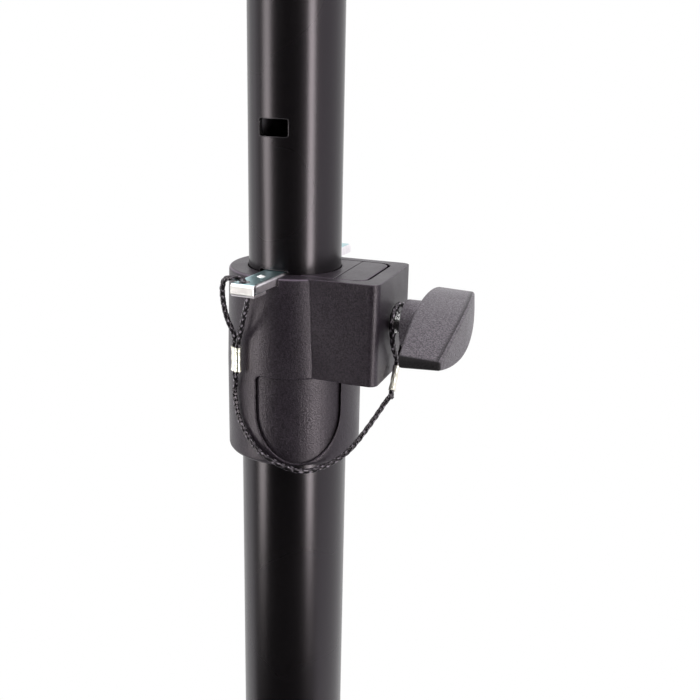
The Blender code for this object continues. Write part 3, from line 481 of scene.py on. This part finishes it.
def moulded_plastic(name):
    """Moulded plastic with a spark-eroded grain and light specks, paler on worn edges, with a painted
    highlight on rounded top shoulders and painted shade in its creases.
    """
    made, shader, tree = new_finish(name)
    recipe = MOULDINGS[name]
    dark, light = recipe["shades"]
    tint = recipe["tint"]
    point = tree.place()
    grain = tree.noise(point, size=0.00055, detail=3.0, roughness=0.6)
    specks = tree.noise(point, size=0.0004, detail=1.0)
    cloud = tree.noise(point, size=0.012, detail=3.0)
    base = tree.mix(tree.ramp(grain, 0.35, 0.65), grey(dark, tint), grey(light, tint))
    speck_share = tree.ramp(specks, 0.60, 0.78, 0.0, 0.5)
    speckled = tree.mix(speck_share, base, grey(SPECK_PALE * light, tint))
    edge = tree.math("MULTIPLY", tree.edge_wear(0.82, 0.98), EDGE_RUB)
    # Painted highlight: rounded shoulders that face partly up are made paler, on top of the worn edges.
    painted_highlight = tree.math("MULTIPLY", painted_shoulder_highlight(tree), recipe["shoulder_highlight"])
    wear_and_highlight = tree.math("MAXIMUM", edge, painted_highlight)
    rubbed = tree.mix(wear_and_highlight, speckled, grey(WEAR_AND_HIGHLIGHT_PALE * light, tint))
    # Painted shade: deep creases are made darker and less glossy.
    clear = clear_of_crease_shade(tree)
    tree.put(tree.mix(clear, grey(CREASE_PAINTED_SHADE * dark), rubbed), shader.inputs["Base Color"])
    gloss = tree.ramp(clear, 0, 1, CREASE_SHADED_GLOSS, OPEN_GLOSS)
    tree.put(gloss, shader.inputs["Specular IOR Level"])
    shader.inputs["Specular Tint"].default_value = grey(1.0, GLOSS_TINT)
    rough = tree.vary(cloud, recipe["roughness"] - 0.04, recipe["roughness"] + 0.05)
    tree.put(rough, shader.inputs["Roughness"])
    soft = tree.rounded(recipe["soft_radius"], BEVEL_SAMPLES)
    grained = tree.bump(grain, strength=0.7, depth=recipe["grain_depth"], under=soft)
    tree.put(grained, shader.inputs["Normal"])
    return made


def wing_plastic():
    """The knob's grey plastic, with painted shade along its outer rim and on its two narrow ends."""
    made = moulded_plastic("wing_plastic")
    inputs = made.node_tree.nodes["Principled BSDF"].inputs
    tree = Nodes(made.node_tree)
    point = tree.add("ShaderNodeTexCoord", "Object")
    settings = {"operation": "SUBTRACT"}
    centred = tree.add("ShaderNodeVectorMath", 0, settings, i0=point, i1=(0, 0, WING_AXIS))
    angle = -math.radians(WING_TURN_DEG)
    settings = {"rotation_type": "X_AXIS"}
    turned = tree.add("ShaderNodeVectorRotate", 0, settings, Vector=centred, Angle=angle)
    along = tree.math("ABSOLUTE", tree.axis(turned, "Y"))
    share = tree.math("DIVIDE", along, WING_HALF_LENGTH)
    swell = tree.math("SUBTRACT", 1.0, tree.math("MULTIPLY", share, share))
    rim = tree.math("ADD", WING_RIM, tree.math("MULTIPLY", swell, WING_BELLY))
    inward = tree.math("SUBTRACT", rim, tree.axis(turned, "X"))
    # Painted shade: a band inside the outer rim and both narrow ends, made darker and less glossy.
    past_rim = tree.ramp(inward, WING_BAND[0] - WING_BAND_SOFT, WING_BAND[0])
    rim_shade = tree.math("MULTIPLY", past_rim, tree.ramp(inward, *WING_BAND, WING_BAND_SHADE, 0.0))
    end = tree.ramp(along, *WING_END, 0.0, WING_END_SHADE)
    dark = tree.math("MAXIMUM", rim_shade, end)
    color, gloss = inputs["Base Color"], inputs["Specular IOR Level"]
    tree.put(tree.mix(dark, color.links[0].from_socket, grey(WING_PAINTED_SHADE)), color)
    kept = tree.ramp(dark, 0.0, 1.0, 1.0, WING_SHADED_GLOSS)
    tree.put(tree.math("MULTIPLY", gloss.links[0].from_socket, kept), gloss)
    return made


def plated_steel(name, low, high, roughness, scratches, top=None):
    """Plated metal with cloudy passivation, fine drawn scratches and a few dull marks. A top colour
    paints a reflection on the faces that look up."""
    made, shader, tree = new_finish(name)
    shader.inputs["Metallic"].default_value = 1.0
    point = tree.place()
    cloud = tree.noise(point, size=0.004)
    drawn = tree.noise(tree.place((1, 0.06, 1)), size=0.00025)
    marks = tree.noise(point, size=0.0016)
    color = tree.mix(tree.vary(cloud, 0.0, 1.0), low, high)
    # Painted reflection: faces that look up take the top colour.
    if top:
        upward = tree.axis(tree.normal(), "Z")
        color = tree.mix(tree.ramp(upward, 0.75, 0.97, 0.0, 0.85), color, top)
    tree.put(color, shader.inputs["Base Color"])
    dull = tree.ramp(marks, 0.45, 0.80, roughness, roughness + 0.10)
    tree.put(dull, shader.inputs["Roughness"])
    tree.put(tree.bump(drawn, scratches, SCRATCH_DEPTH), shader.inputs["Normal"])
    return made


def rubber():
    """Matt black rubber with a dusty bloom."""
    made, shader, tree = new_finish("rubber")
    point = tree.place()
    bloom = tree.noise(point, size=0.005, detail=4.0, roughness=0.6)
    grain = tree.noise(point, size=0.0004, detail=2.0)
    color = tree.mix(tree.ramp(bloom, 0.4, 0.75), grey(0.016), grey(0.034))
    tree.put(color, shader.inputs["Base Color"])
    tree.put(tree.vary(bloom, 0.66, 0.82), shader.inputs["Roughness"])
    tree.put(tree.bump(grain, strength=0.4, depth=0.00005), shader.inputs["Normal"])
    return made


def white_plastic():
    """Off-white slide plastic, a little rubbed."""
    made, shader, tree = new_finish("white_plastic")
    rubbed = tree.noise(tree.place((1, 1, 0.1)), size=0.0008)
    share = tree.ramp(rubbed, 0.45, 0.75)
    color = tree.mix(share, grey(0.68, NYLON_TINT), grey(0.48, NYLON_TINT))
    tree.put(color, shader.inputs["Base Color"])
    tree.put(tree.vary(rubbed, 0.38, 0.50), shader.inputs["Roughness"])
    tree.put(tree.bump(rubbed, strength=0.2, depth=0.00004), shader.inputs["Normal"])
    return made


def braid_finish():
    """Glossy black filaments, with painted pale highlights here and there on the strands' crowns."""
    made, shader, tree = new_finish("braid")
    point = tree.place()
    fibre = tree.noise(point, size=0.00014, detail=2.0)
    pale = tree.noise(point, size=0.0011, detail=2.0)
    crown = tree.add("ShaderNodeAttribute", "Fac", {"attribute_name": "crown"})
    glinting_crowns = tree.ramp(crown, 0.70, 0.98)
    # Painted highlight: pale colour on some of the strands' crowns.
    share = tree.math("MULTIPLY", glinting_crowns, tree.ramp(pale, 0.44, 0.58, 0.0, 0.85))
    color = tree.mix(share, grey(0.004), grey(0.40, GLOSS_TINT))
    tree.put(color, shader.inputs["Base Color"])
    shader.inputs["Specular Tint"].default_value = grey(1.0, GLOSS_TINT)
    tree.put(tree.vary(fibre, 0.20, 0.38), shader.inputs["Roughness"])
    tree.put(tree.bump(fibre, strength=0.5, depth=0.00005), shader.inputs["Normal"])
    return made


def zinc_plate():
    """Bright zinc plate, with a painted bluish reflection where it faces up."""
    return plated_steel(
        "zinc",
        low=grey(0.78, (1.0, 0.94, 1.0)),
        high=grey(0.97, (1.0, 0.96, 1.0)),
        roughness=0.30,
        scratches=0.30,
        top=grey(0.62, (0.55, 0.95, 1.0)),
    )


def aluminium():
    """Soft silver aluminium, a little warm and well scratched."""
    return plated_steel(
        "aluminium",
        low=grey(0.84, (1.0, 0.95, 0.80)),
        high=grey(0.95, (1.0, 0.99, 0.95)),
        roughness=0.36,
        scratches=0.5,
    )


def make_finishes():
    """Every finish of the record's material slots, under the slot's name."""
    return {
        "black_powder_coat": powder_coat(),
        "black_steel_plate": moulded_plastic("textured_coat"),
        "charcoal_plastic": moulded_plastic("charcoal_moulding"),
        "grey_plastic": wing_plastic(),
        "black_rubber": rubber(),
        "white_nylon": white_plastic(),
        "dark_steel": plated_steel(
            "dark_steel", low=grey(0.10), high=grey(0.16), roughness=0.34, scratches=0.3
        ),
        "zinc_plate": zinc_plate(),
        "silver_aluminium": aluminium(),
        "black_cord": braid_finish(),
    }


def bright_thread():
    """The thread's zinc plate, whose flanks glint."""
    return plated_steel(
        "bright_thread", low=grey(0.86), high=grey(0.98), roughness=0.14, scratches=0.1
    )


def bright_dome():
    """The dome's zinc plate, paler as a painted highlight, and rougher than the pin's."""
    return plated_steel("bright_dome", low=grey(0.97), high=grey(1.0), roughness=0.55, scratches=0.1)


NODE_SLOTS = {
    "black_powder_coat": ("lower_tube", "upper_tube", "plate_socket"),
    "black_steel_plate": ("base_plate", "tube_flange", "top_plate"),
    "charcoal_plastic": ("clamp_housing", "pressure_shoe"),
    "grey_plastic": ("knob_grip",),
    "black_rubber": ("foot_", "plate_pad_"),
    "white_nylon": ("guide_bush",),
    "dark_steel": ("threaded_insert",),
    "zinc_plate": (
        "foot_screw_",
        "flange_bolt_",
        "housing_screw",
        "knob_stud",
        "safety_pin",
        "socket_screw",
        "plate_screw_",
    ),
    "silver_aluminium": ("ferrule_",),
    "black_cord": ("lanyard",),
}


def slot_of(node):
    """The record's slot for a node: the one whose longest name or prefix fits it."""
    found = [
        (len(start), slot)
        for slot, starts in NODE_SLOTS.items()
        for start in starts
        if node.startswith(start)
    ]
    return max(found)[1]


def dress_node(thing, finish):
    """Smooth shading between a solid's real edges, and its finish, with its points unchanged."""
    thing.modifiers.new("weld", "WELD").merge_threshold = WELD_REACH
    thing.modifiers.new("edges", "EDGE_SPLIT").split_angle = math.radians(SHARP_DEG)
    thing.modifiers.new("normals", "WEIGHTED_NORMAL").keep_sharp = True
    thing.data.polygons.foreach_set("use_smooth", [True] * len(thing.data.polygons))
    thing.data.materials.clear()
    thing.data.materials.append(finish)


def new_mesh(name, corners, faces, finish, body=None):
    """A smooth mesh piece with its finish, riding on a body if one is given."""
    mesh = bpy.data.meshes.new(name)
    mesh.from_pydata(corners, [], faces)
    mesh.polygons.foreach_set("use_smooth", [True] * len(mesh.polygons))
    mesh.materials.append(finish)
    made = link(bpy.data.objects.new(name, mesh))
    if body:
        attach(made, body)
    return made


def tube_faces(rings, sides, closed_ends=True):
    """The faces of a tube whose corners run ring by ring."""
    faces = []
    for i in range(rings - 1):
        for j in range(sides):
            a, b = i * sides + j, i * sides + (j + 1) % sides
            faces.append((a, b, b + sides, a + sides))
    if closed_ends:
        faces.append(tuple(reversed(range(sides))))
        faces.append(tuple(range((rings - 1) * sides, rings * sides)))
    return faces


def smooth_run(points, step):
    """Points about a step apart on a smooth curve from the second given point to the last but one."""
    fine = []
    for a, b, c, d in zip(points, points[1:], points[2:], points[3:]):
        for i in range(CURVE_STEPS):
            t = i / CURVE_STEPS
            square = (2 * a - 5 * b + 4 * c - d) * t**2
            cube = (3 * b - a - 3 * c + d) * t**3
            fine.append(0.5 * (2 * b + (c - a) * t + square + cube))
    fine.append(points[-2])
    length = sum((q - p).length for p, q in zip(fine, fine[1:]))
    count = max(1, round(length / step))
    out, gone, target = [fine[0]], 0.0, length / count
    for p, q in zip(fine, fine[1:]):
        piece = (q - p).length
        while gone + piece >= target * len(out) - ROUNDING and len(out) < count:
            out.append(p.lerp(q, (target * len(out) - gone) / piece))
        gone += piece
    return out + [fine[-1]]


def crimp_across(crimp):
    """The direction from one strand to the other: level, and square to the crimp."""
    top, bottom = (Vector(end) for end in crimp)
    out = Vector((top.x, top.y, 0)) if crimp is PIN_CRIMP else Vector(KNOB_CRIMP_OUT)
    return (top - bottom).cross(out).normalized()


def crimp_strands(crimp, side):
    """The top and bottom ends of a strand's straight run through a crimp, a little past its ends."""
    top, bottom = (Vector(end) for end in crimp)
    beyond = (top - bottom).normalized() * CRIMP_OVERRUN
    across = crimp_across(crimp) * side * STRAND_PITCH / 2
    return top + beyond + across, bottom - beyond + across


def straight(start, end, step):
    """Points a step apart on a straight line, without its end."""
    count = max(1, round((end - start).length / step))
    return [start.lerp(end, i / count) for i in range(count)]


def lanyard_points(step):
    """The cord's points: straight through each crimp, and smooth curves between the crimps."""
    pin_left = crimp_strands(PIN_CRIMP, -1)
    pin_right = crimp_strands(PIN_CRIMP, 1)
    knob_near = crimp_strands(KNOB_CRIMP, -1)
    knob_far = crimp_strands(KNOB_CRIMP, 1)
    loop, swag, knob = ([Vector(p) for p in run] for run in (PIN_LOOP, SLEEVE_SWAG, KNOB_LOOP))
    tail = Vector(KNOB_TAIL[0])
    route = (
        straight(pin_right[1], pin_right[0], step)
        + smooth_run([pin_right[1], pin_right[0], *reversed(loop), *pin_left], step)[:-1]
        + straight(*pin_left, step)
        + smooth_run([*pin_left, *swag, *reversed(knob_near)], step)[:-1]
        + straight(knob_near[1], knob_near[0], step)
        + smooth_run([*reversed(knob_near), *knob, *knob_far], step)[:-1]
        + straight(*knob_far, step)
        + straight(knob_far[1], tail, step)
        + [tail]
    )
    return [point + Vector((0, 0, COLLAR_TOP)) for point in route]


def braid_height(angle, gone):
    """0 to 1: how far the braid stands out. Two families of strands go over and under in turn."""
    round_share = BRAID_STRANDS * angle / (2 * math.pi)
    one = round_share + gone / BRAID_PITCH
    other = round_share - gone / BRAID_PITCH
    if (math.floor(one) + math.floor(other)) % 2:
        across, along = one % 1, other % 1
    else:
        across, along = other % 1, one % 1
    strand = 1 - (2 * across - 1) ** 4
    crown = 1 - BRAID_DIP * (2 * along - 1) ** 2
    return strand * crown


def carried_frames(points):
    """At each point, two directions square to the curve that don't twist along it."""
    frames = []
    side = None
    for i, point in enumerate(points):
        ahead = points[min(i + 1, len(points) - 1)] - points[max(i - 1, 0)]
        ahead.normalize()
        if side is None:
            side = ahead.orthogonal()
        side = (side - ahead * side.dot(ahead)).normalized()
        frames.append((point, side, ahead.cross(side)))
    return frames


def make_lanyard(finish):
    """The braided cord as one tube whose surface has the braid's strands."""
    points = lanyard_points(CORD_STEP)
    corners = []
    crowns = []
    gone = 0.0
    before = points[0]
    low = CORD_DIAMETER / 2 - BRAID_INSET * BRAID_RELIEF
    for point, side, up in carried_frames(points):
        gone += (point - before).length
        before = point
        for j in range(CORD_SIDES):
            angle = 2 * math.pi * j / CORD_SIDES
            crown = braid_height(angle, gone)
            radius = low + BRAID_RELIEF * crown
            corners.append(point + (side * math.cos(angle) + up * math.sin(angle)) * radius)
            crowns.append(crown)
    faces = tube_faces(len(points), CORD_SIDES)
    cord = new_mesh("lanyard_braid", corners, faces, finish)
    cord.data.attributes.new("crown", "FLOAT", "POINT").data.foreach_set("value", crowns)
    length = sum((q - p).length for p, q in zip(points, points[1:]))
    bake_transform(cord)
    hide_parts("lanyard")
    return cord, points, length


def hill(x, width):
    """A smooth hill, 1 high at 0."""
    return math.exp(-((x / width) ** 2))


def ferrule_section(share, extra):
    """A ring of points round two strands, drawn in between them, at a share of the crimp's length."""
    tall = CORD_DIAMETER / 2 + CORD_GAP + extra
    wide = STRAND_PITCH / 2 + tall
    out = 0.0
    if extra:
        flare = FERRULE_FLARE * hill(min(share, 1 - share), FERRULE_FLARE_SHARE)
        pressed = sum(hill(share - at, FERRULE_DENT_SHARE) for at in FERRULE_DENTS_AT)
        out = flare - FERRULE_DENT * pressed
    ring = []
    for j in range(FERRULE_SIDES):
        angle = 2 * math.pi * j / FERRULE_SIDES
        cos, sin = math.cos(angle), math.sin(angle)
        x = wide * math.copysign(abs(cos) ** FERRULE_SQUARENESS[0], cos)
        y = tall * math.copysign(abs(sin) ** FERRULE_SQUARENESS[1], sin)
        flat = Vector((x, y * (1 - FERRULE_WAIST * hill(x, FERRULE_WAIST_WIDTH))))
        ring.append(flat + flat.normalized() * out)
    return ring


def make_ferrule(name, crimp, finish, body):
    """An aluminium sleeve pressed round the cord's two strands, with its bore and rolled ends."""
    top, bottom = (Vector(end) + Vector((0, 0, COLLAR_TOP)) for end in crimp)
    run = bottom - top
    across = crimp_across(crimp)
    third = run.normalized().cross(across)
    outside = [(i / FERRULE_STATIONS, FERRULE_WALL) for i in range(FERRULE_STATIONS + 1)]
    bore = [(1 - i / FERRULE_BORE_STATIONS, 0.0) for i in range(FERRULE_BORE_STATIONS + 1)]
    corners = []
    for share, extra in outside + bore:
        for flat in ferrule_section(share, extra):
            corners.append(top + run * share + across * flat.x + third * flat.y)
    rings = len(outside) + len(bore)
    faces = tube_faces(rings, FERRULE_SIDES, closed_ends=False)
    last = (rings - 1) * FERRULE_SIDES
    for j in range(FERRULE_SIDES):
        k = (j + 1) % FERRULE_SIDES
        faces.append((last + j, last + k, k, j))
    made = new_mesh(f"{name}_crimped", corners, faces, finish, body)
    made.modifiers.new("edges", "EDGE_SPLIT").split_angle = math.radians(CRIMP_SHARP_DEG)
    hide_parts(name)
    return made


def make_stud(finish):
    """The clamp stud with its thread, cut as a helix between its root and its crest."""
    low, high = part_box("knob_stud")
    middle = (low + high) / 2
    step = THREAD_PITCH / THREAD_STEPS_A_TURN
    count = int((high.x - low.x) / step)
    corners = []
    for i in range(count + 1):
        x = low.x + (high.x - low.x) * i / count
        to_end = min(x - low.x, high.x - x)
        taper = min(1.0, (to_end + THREAD_END) / THREAD_DEPTH)
        for j in range(THREAD_SIDES):
            angle = 2 * math.pi * j / THREAD_SIDES
            phase = ((x - low.x) / THREAD_PITCH - j / THREAD_SIDES) % 1
            crest = min(1.0, THREAD_CREST * abs(2 * phase - 1))
            radius = STUD_RADIUS - THREAD_DEPTH * (1 - crest * taper)
            corners.append((x, middle.y + radius * math.cos(angle), middle.z + radius * math.sin(angle)))
    faces = tube_faces(count + 1, THREAD_SIDES)
    stud = new_mesh("stud_thread", corners, faces, finish, "knob")
    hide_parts("knob_stud")


def make_pin_dimple(finish):
    """The shallow dome pressed up in the safety pin's top, between its hole and the tube."""
    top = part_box("safety_pin")[1].z
    corners = []
    for i in range(DIMPLE_RINGS):
        share = i / (DIMPLE_RINGS - 1)
        height = DIMPLE_HEIGHT * math.cos(share * math.pi / 2) ** 2 - DIMPLE_SINK * share
        for j in range(DIMPLE_SIDES):
            angle = 2 * math.pi * j / DIMPLE_SIDES
            reach = DIMPLE_RADIUS * (share + DIMPLE_MIDDLE)
            out = Vector((math.cos(angle), math.sin(angle), 0)) * reach
            corners.append(Vector((*DIMPLE_PLACE, top + height)) + out)
    rim = corners[-DIMPLE_SIDES:]
    foot = [Vector((corner.x, corner.y, top - 2 * DIMPLE_SINK)) for corner in rim]
    faces = tube_faces(DIMPLE_RINGS + 1, DIMPLE_SIDES)
    new_mesh("pin_dimple", corners + foot, faces, finish, "pin")


def rounded_rectangle(width, height, corner, step):
    """Points about a step apart on a rectangle with round corners, round the origin."""
    points = []
    for number, (sx, sy) in enumerate(((1, -1), (1, 1), (-1, 1), (-1, -1))):
        centre = Vector((sx * (width / 2 - corner), sy * (height / 2 - corner)))
        for i in range(CORNER_POINTS):
            angle = math.radians(90 * (number - 1 + i / (CORNER_POINTS - 1)))
            points.append(centre + Vector((math.cos(angle), math.sin(angle))) * corner)
    out = []
    for p, q in zip(points, points[1:] + points[:1]):
        out += straight(p, q, step)
    return out


def make_slot_rims(finish):
    """The coat's rounded build-up round each slot, on the tube's face."""
    curve = bpy.data.curves.new("slot_rims", "CURVE")
    curve.dimensions = "3D"
    curve.bevel_depth = RIM_RADIUS
    curve.bevel_resolution = 2
    curve.materials.append(finish)
    outline = rounded_rectangle(SLOT_WIDTH, SLOT_HEIGHT, SLOT_CORNER, RIM_STEP)
    for number in range(-SLOTS_BELOW, SLOTS_ABOVE + 1):
        height = COLLAR_TOP + SLOT_MIDDLE + number * SLOT_PITCH
        for face in (0, 180):
            line = curve.splines.new("POLY")
            line.points.add(len(outline) - 1)
            line.use_cyclic_u = True
            for point, flat in zip(line.points, outline):
                around = SLOT_TURN_DEG + face + math.degrees(math.asin(flat.x / UPPER_TUBE_RADIUS))
                place = direction(around) * (UPPER_TUBE_RADIUS - RIM_RADIUS / 3)
                point.co = (place.x, place.y, height + flat.y, 1)
    rims = link(bpy.data.objects.new("slot_rims", curve))
    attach(rims, "upper")


def studio_wall(tree, backward):
    """How bright the studio is, from how far a direction points away from the camera's side."""
    return tree.ramp(backward, *STUDIO_EDGE, STUDIO_DARK, STUDIO_WHITE, smooth=True)


def make_floor():
    """A pale floor that keeps the stand's shadow, runs out into the white background, and shows in
    reflections as the studio round it does."""
    made, shader, tree = new_finish("floor")
    shader.inputs["Base Color"].default_value = grey(FLOOR_COLOR)
    shader.inputs["Roughness"].default_value = FLOOR_ROUGHNESS
    shader.inputs["Specular IOR Level"].default_value = 0.0
    point = tree.add("ShaderNodeTexCoord", "Object")
    away = tree.add("ShaderNodeVectorMath", "Value", {"operation": "LENGTH"}, i0=point)
    ray = tree.ray()
    seen = tree.math("MULTIPLY", tree.ramp(away, *FLOOR_FADE, smooth=True), ray["Is Camera Ray"])
    mirrored = tree.math("MAXIMUM", ray["Is Glossy Ray"], ray["Is Transmission Ray"])
    wall = studio_wall(tree, tree.math("DIVIDE", tree.axis(point, "Y"), away))
    strength = tree.choose(ray["Is Camera Ray"], wall, 1.0)
    glow = tree.add("ShaderNodeEmission", Color=grey(1.0), Strength=strength)
    share = tree.math("MAXIMUM", seen, mirrored)
    mixed = tree.add("ShaderNodeMixShader", i0=share, i1=shader.outputs[0], i2=glow)
    tree.put(mixed, made.node_tree.nodes["Material Output"].inputs["Surface"])
    half = FLOOR_HALF
    mesh = bpy.data.meshes.new("floor")
    corners = [(-half, -half, 0), (half, -half, 0), (half, half, 0), (-half, half, 0)]
    mesh.from_pydata(corners, [], [(0, 1, 2, 3)])
    mesh.materials.append(made)
    link(bpy.data.objects.new("floor", mesh))


def make_world():
    """White to the camera, white behind and beside the stand, a dark studio on the camera's side, and
    a canopy overhead."""
    world = bpy.data.worlds.new("studio")
    world.use_nodes = True
    bpy.context.scene.world = world
    tree = Nodes(world.node_tree)
    toward = tree.add("ShaderNodeTexCoord", "Generated")
    canopy = tree.ramp(tree.axis(toward, "Z"), *CANOPY_EDGE, 0.0, CANOPY_LIGHT, smooth=True)
    light = tree.math("ADD", studio_wall(tree, tree.axis(toward, "Y")), canopy)
    background = world.node_tree.nodes["Background"]
    background.inputs["Color"].default_value = grey(1.0)
    tree.put(tree.choose(tree.ray()["Is Camera Ray"], light, 1.0), background.inputs["Strength"])


def main():
    """Dress the solids, add the pieces that the scene makes, and light and frame them."""
    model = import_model()
    bpy.context.scene.view_settings.view_transform = "Standard"
    make_camera()
    finishes = make_finishes()
    cord, path, length = make_lanyard(finishes["black_cord"])
    silver = finishes["silver_aluminium"]
    crimps = [
        make_ferrule("ferrule_pin_end", PIN_CRIMP, silver, "pin"),
        make_ferrule("ferrule_knob_end", KNOB_CRIMP, silver, "root"),
    ]
    for name, node in model["nodes"].items():
        dress_node(node, finishes[slot_of(name)])
    make_stud(bright_thread())
    make_slot_rims(finishes["black_powder_coat"])
    make_pin_dimple(bright_dome())
    make_floor()
    make_world()
    for name, strip in STRIPS.items():
        make_strip(name, **strip)


main()
